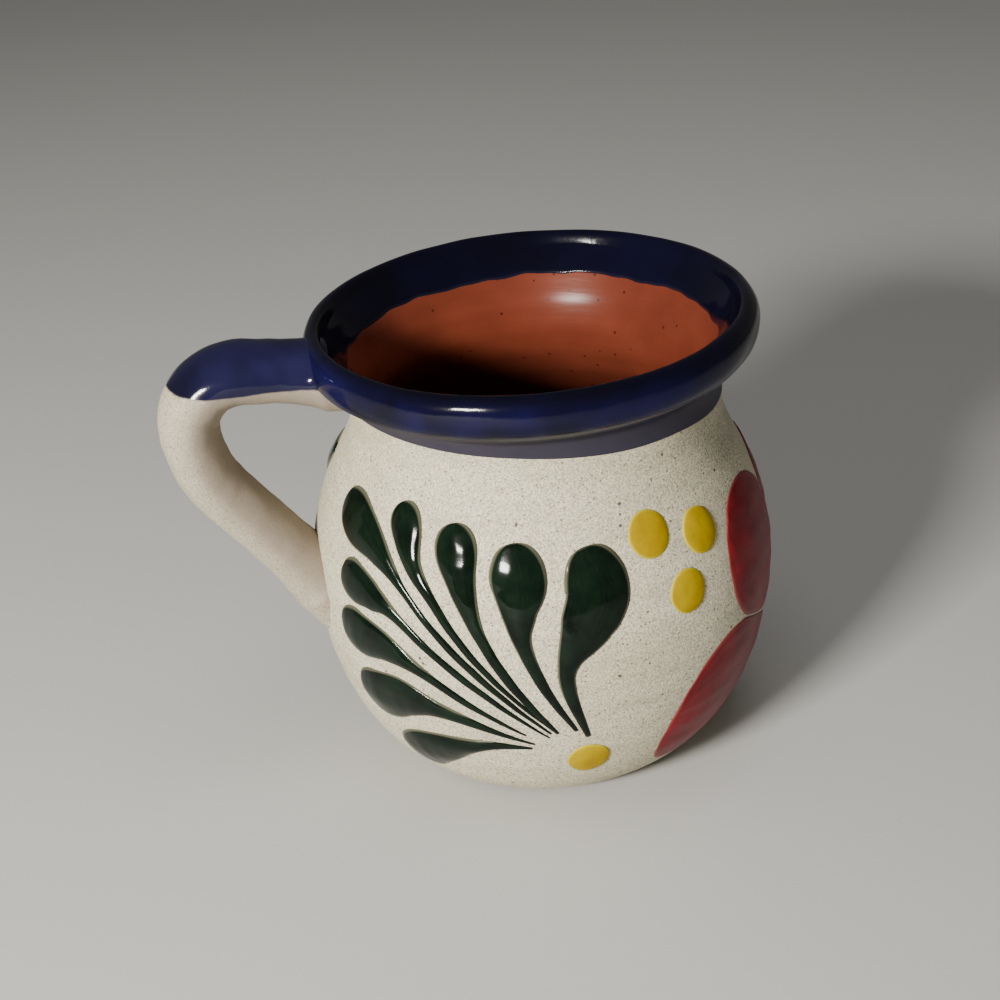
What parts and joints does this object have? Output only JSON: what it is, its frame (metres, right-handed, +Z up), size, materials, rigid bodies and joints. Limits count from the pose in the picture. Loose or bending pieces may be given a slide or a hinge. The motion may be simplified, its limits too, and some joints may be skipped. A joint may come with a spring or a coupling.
{
  "type": "clay mug",
  "caption": "Round-bellied terracotta mug with a narrow waist, a rolled cobalt lip, one strap handle, off-white slip and raised enamel plumes, dots and a flower",
  "frame": {"origin": "the centre of the flat foot, on the surface the mug stands on", "axes": "+Z up along the pot's axis, -X towards the handle, +X towards the flower, -Y towards the painted side with the plumes that the picture shows"},
  "size_m": [0.1166, 0.0916, 0.0931],
  "materials": {
    "terracotta": "unglazed fired clay, matt",
    "clear_glaze": "thin clear glaze over terracotta, glossy",
    "white_slip": "off-white slip under a thin clear glaze, satin, fine dark speckles",
    "cobalt_glaze": "deep cobalt glaze, glossy",
    "green_enamel": "thick dark green enamel, raised, glossy",
    "yellow_enamel": "mustard yellow enamel, raised, glossy",
    "red_enamel": "brick red enamel, thin, satin"
  },
  "bodies": {
    "root": {"clay_body": "terracotta", "rolled_lip": "terracotta", "handle": "terracotta", "handle_top_luting": "cobalt_glaze", "handle_foot_luting": "white_slip", "body_slip": "white_slip", "neck_slip": "white_slip", "handle_slip": "white_slip", "handle_under_slip": "white_slip", "lining_glaze": "clear_glaze", "throat_glaze": "clear_glaze", "lip_glaze": "cobalt_glaze", "handle_glaze": "cobalt_glaze", "near_stroke_1": "green_enamel", "near_stroke_2": "green_enamel", "near_stroke_3": "green_enamel", "near_stroke_4": "green_enamel", "near_stroke_5": "green_enamel", "near_stroke_6": "green_enamel", "near_stroke_7": "green_enamel", "near_stroke_8": "green_enamel", "near_stroke_9": "green_enamel", "far_stroke_1": "green_enamel", "far_stroke_2": "green_enamel", "far_stroke_3": "green_enamel", "far_stroke_4": "green_enamel", "far_stroke_5": "green_enamel", "far_stroke_6": "green_enamel", "far_stroke_7": "green_enamel", "far_stroke_8": "green_enamel", "far_stroke_9": "green_enamel", "near_dot_1": "yellow_enamel", "near_dot_2": "yellow_enamel", "near_dot_3": "yellow_enamel", "near_dot_4": "yellow_enamel", "far_dot_1": "yellow_enamel", "far_dot_2": "yellow_enamel", "far_dot_3": "yellow_enamel", "far_dot_4": "yellow_enamel", "petal_1": "red_enamel", "petal_2": "red_enamel", "petal_3": "red_enamel", "petal_4": "red_enamel", "petal_5": "red_enamel", "flower_centre": "yellow_enamel"}
  },
  "joints": []
}
